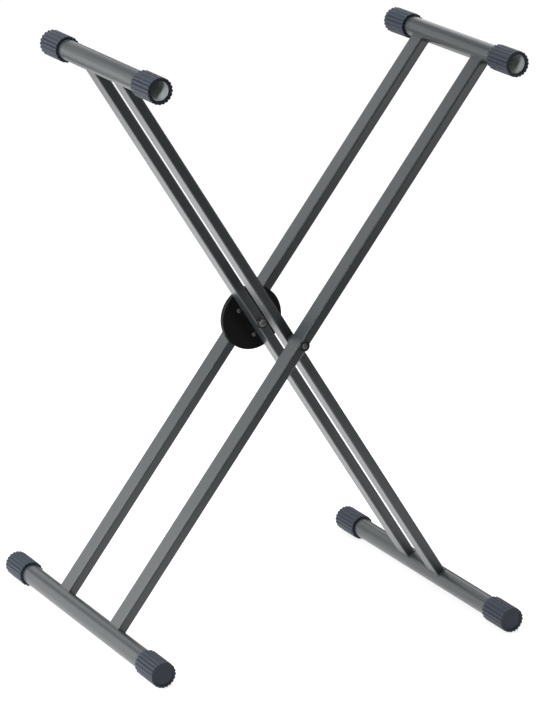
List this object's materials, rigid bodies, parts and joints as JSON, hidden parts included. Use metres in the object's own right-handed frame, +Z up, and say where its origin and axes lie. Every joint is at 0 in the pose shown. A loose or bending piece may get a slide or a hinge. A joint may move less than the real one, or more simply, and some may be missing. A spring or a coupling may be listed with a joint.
{
  "type": "folding keyboard stand",
  "caption": "Folding keyboard stand: a wide and a narrow steel frame of paired legs cross at a bolt and a toothed clutch disc, with ribbed rubber ends on the cross tubes",
  "frame": {"origin": "On the floor, under the middle of the stand's box: the pivot axis passes straight above it.", "axes": "+Z up. The cross tubes and the pivot axis run along Y, with the clutch and the knob towards +Y. The legs cross in the XZ plane: the outer frame leans to +X at its top, the inner frame to -X."},
  "size_m": [0.612, 0.5, 0.8575],
  "materials": {
    "frame_steel": "anthracite powder coat, satin to half gloss, very fine orange peel",
    "ribbed_rubber": "blue-black moulded rubber with lengthwise ribs, matt with a soft sheen on the crests",
    "clutch_black": "black satin paint on pressed steel",
    "gear_steel": "plain zinc-grey steel",
    "dark_steel": "black-zinc steel, half gloss, brighter on the edges",
    "spring_steel": "drawn spring wire",
    "knob_plastic": "black glass-filled nylon, fine matt grain"
  },
  "bodies": {
    "outer_frame": {"outer_top_tube": "frame_steel", "outer_bottom_tube": "frame_steel", "outer_front_leg": "frame_steel", "outer_rear_leg": "frame_steel", "outer_top_front_sleeve": "ribbed_rubber", "outer_bottom_front_cap": "ribbed_rubber", "outer_top_rear_sleeve": "ribbed_rubber", "outer_bottom_rear_cap": "ribbed_rubber", "outer_clutch_pan": "clutch_black", "outer_toothed_ring": "gear_steel", "outer_clutch_rivet_1": "dark_steel", "outer_clutch_rivet_2": "dark_steel", "outer_clutch_rivet_3": "dark_steel", "outer_clutch_rivet_4": "dark_steel", "front_cup_washer": "dark_steel", "front_bolt": "dark_steel", "front_spacer": "dark_steel", "front_washer": "dark_steel", "front_lock_nut": "dark_steel", "clutch_cup_washer": "dark_steel", "clutch_bolt": "dark_steel", "clutch_spring": "spring_steel"},
    "inner_frame": {"inner_top_tube": "frame_steel", "inner_bottom_tube": "frame_steel", "inner_front_leg": "frame_steel", "inner_rear_leg": "frame_steel", "inner_top_front_sleeve": "ribbed_rubber", "inner_bottom_front_cap": "ribbed_rubber", "inner_top_rear_sleeve": "ribbed_rubber", "inner_bottom_rear_cap": "ribbed_rubber", "inner_clutch_pan": "clutch_black", "inner_toothed_ring": "gear_steel", "inner_clutch_rivet_1": "dark_steel", "inner_clutch_rivet_2": "dark_steel", "inner_clutch_rivet_3": "dark_steel", "inner_clutch_rivet_4": "dark_steel"},
    "thrust_washer": {"thrust_washer": "dark_steel"},
    "clamping_knob": {"clamping_knob": "knob_plastic", "knob_insert": "gear_steel"}
  },
  "joints": [
    {"name": "fold", "type": "hinge", "parent": "outer_frame", "child": "inner_frame", "pos_m": [0, 0, 0.42877], "axis": [0, 1, 0], "range_deg": [-40, 65.4]},
    {"name": "knob_travel", "type": "slide", "parent": "outer_frame", "child": "thrust_washer", "axis": [0, 1, 0], "range_m": [0, 0.0026]},
    {"name": "knob_turn", "type": "hinge", "parent": "thrust_washer", "child": "clamping_knob", "pos_m": [0, 0.11, 0.42877], "axis": [0, 1, 0], "range_deg": [0, 720]}
  ],
  "couplings": [
    {"joint": "knob_travel", "follows": "knob_turn", "m_per_rad": 0.00019894}
  ]
}
